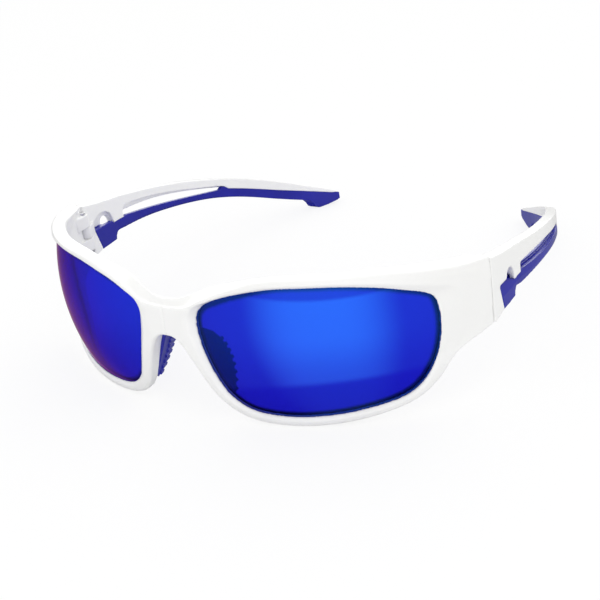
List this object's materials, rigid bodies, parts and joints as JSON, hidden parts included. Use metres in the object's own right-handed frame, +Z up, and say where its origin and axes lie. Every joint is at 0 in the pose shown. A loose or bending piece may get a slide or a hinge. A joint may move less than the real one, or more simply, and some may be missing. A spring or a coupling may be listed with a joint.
{
  "type": "wraparound sport sunglasses",
  "caption": "Wraparound full-rim sport sunglasses with curved mirror lenses, ribbed rubber nose pads and folding temples with open windows and rubber grips.",
  "frame": {"origin": "on the table the glasses rest on, under the middle of the bounding box", "axes": "+X to the wearer's left, +Y back towards the temple tips, +Z up; the front faces -Y"},
  "size_m": [0.158, 0.1508, 0.0458],
  "materials": {
    "frame_white": "glossy white moulded nylon",
    "lens_mirror": "tinted polycarbonate with a blue mirror coating, polished",
    "rubber_blue": "soft matt to satin dark blue rubber",
    "hinge_steel": "plain stainless steel"
  },
  "bodies": {
    "front": {"front_frame": "frame_white", "lens_left": "lens_mirror", "lens_right": "lens_mirror", "nose_pad_left": "rubber_blue", "nose_pad_right": "rubber_blue", "hinge_screw_left": "hinge_steel", "hinge_screw_right": "hinge_steel", "hinge_nut_left": "hinge_steel", "hinge_nut_right": "hinge_steel"},
    "temple_left": {"temple_arm_left": "frame_white", "temple_grip_left": "rubber_blue"},
    "temple_right": {"temple_arm_right": "frame_white", "temple_grip_right": "rubber_blue"}
  },
  "joints": [
    {"name": "temple_left_fold", "type": "hinge", "parent": "front", "child": "temple_left", "pos_m": [0.0742, -0.0286, 0.03], "axis": [0, 0, 1], "range_deg": [0, 90]},
    {"name": "temple_right_fold", "type": "hinge", "parent": "front", "child": "temple_right", "pos_m": [-0.0742, -0.0286, 0.03], "axis": [0, 0, -1], "range_deg": [0, 78]}
  ]
}
